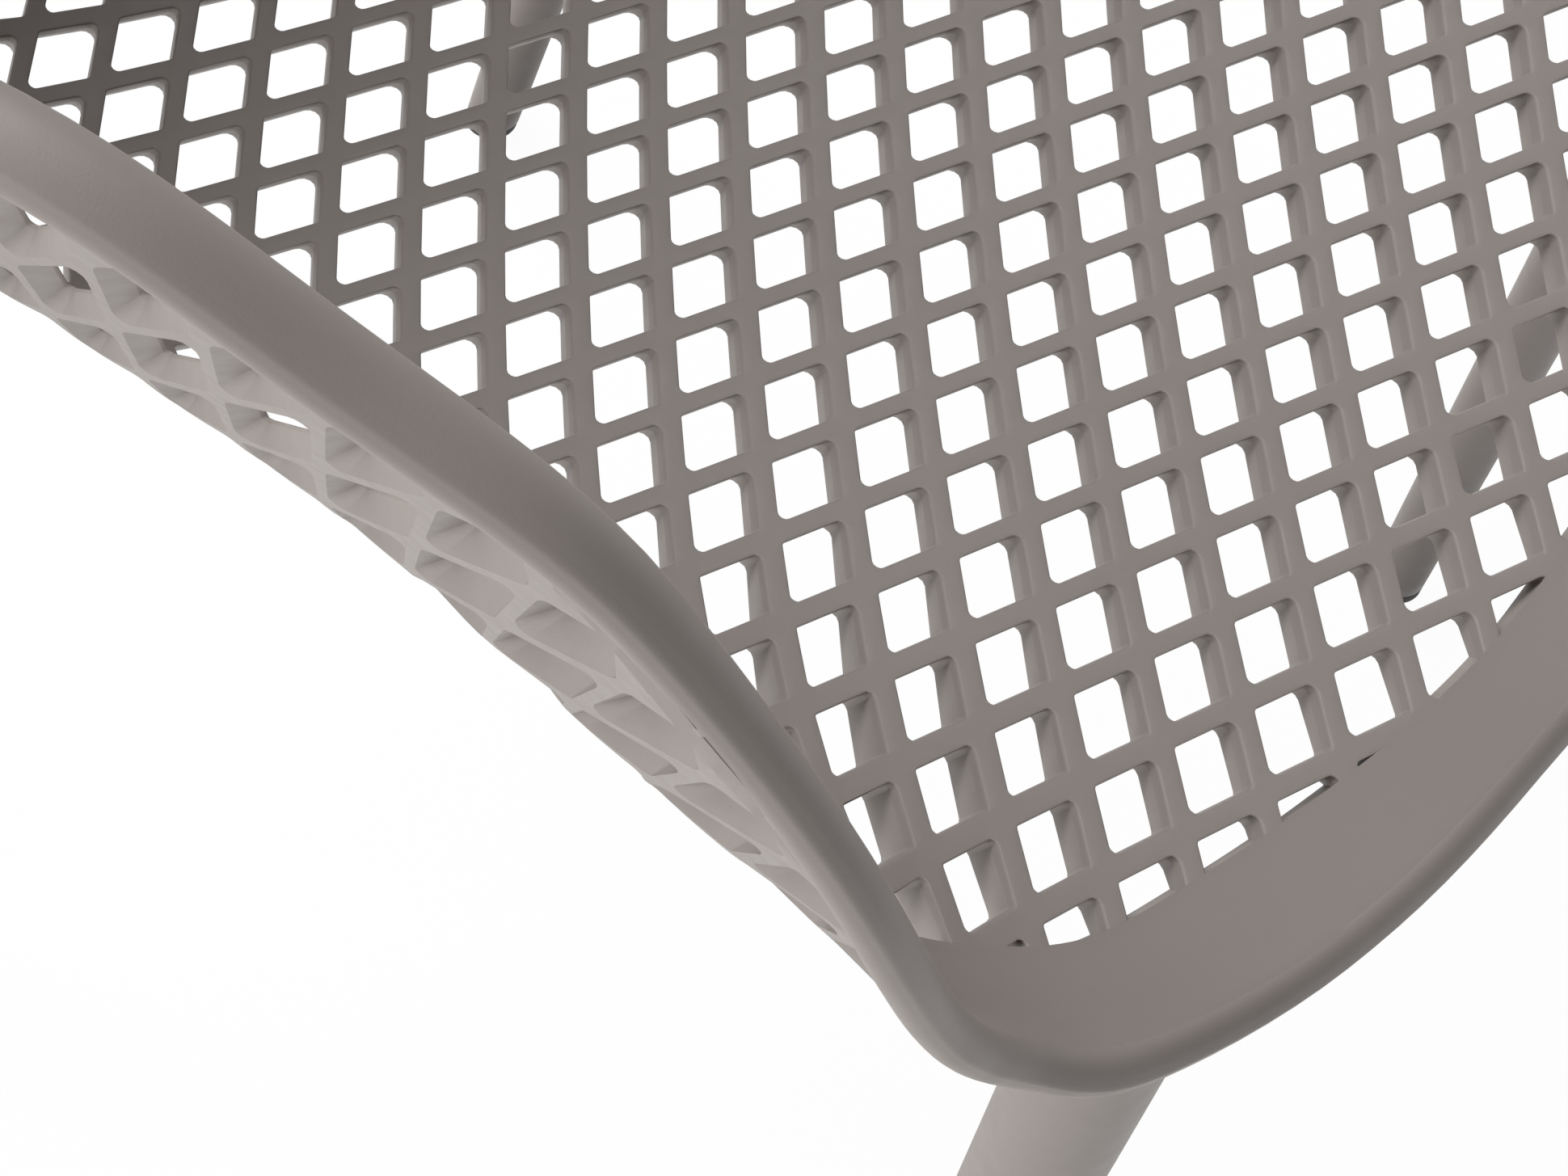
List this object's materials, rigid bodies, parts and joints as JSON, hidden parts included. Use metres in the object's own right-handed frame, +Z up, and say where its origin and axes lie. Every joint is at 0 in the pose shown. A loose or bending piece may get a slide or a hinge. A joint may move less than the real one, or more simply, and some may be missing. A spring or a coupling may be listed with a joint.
{
  "type": "garden armchair",
  "caption": "Moulded resin garden armchair with a bucket shell of lozenge net, a flat front band, a rolled rim around the edge, and round tapered legs with foot glides.",
  "frame": {"origin": "on the floor, under the middle of the chair's bounding box", "axes": "+X across the chair, to the right for someone who looks at its front, +Y from the front to the back, +Z up"},
  "size_m": [0.5934, 0.5569, 0.8274],
  "materials": {
    "shell_resin": "fine moulded grain, matte taupe",
    "leg_resin": "fine moulded grain, matte taupe",
    "foot_rubber": "matte dark grey",
    "screw_steel": "plain stainless"
  },
  "bodies": {
    "root": {"seat_net": "shell_resin", "back_net": "shell_resin", "front_band": "shell_resin", "front_rim": "shell_resin", "back_rim": "shell_resin", "right_arm_net": "shell_resin", "left_arm_net": "shell_resin", "right_wing_net": "shell_resin", "left_wing_net": "shell_resin", "right_arm_rim": "shell_resin", "left_arm_rim": "shell_resin", "front_right_leg": "leg_resin", "front_right_leg_spigot": "shell_resin", "front_right_glide": "foot_rubber", "front_left_leg": "leg_resin", "front_left_leg_spigot": "shell_resin", "front_left_glide": "foot_rubber", "rear_right_leg": "leg_resin", "rear_right_leg_spigot": "shell_resin", "rear_right_glide": "foot_rubber", "rear_left_leg": "leg_resin", "rear_left_leg_spigot": "shell_resin", "rear_left_glide": "foot_rubber", "leg_screws": "screw_steel"}
  },
  "joints": []
}
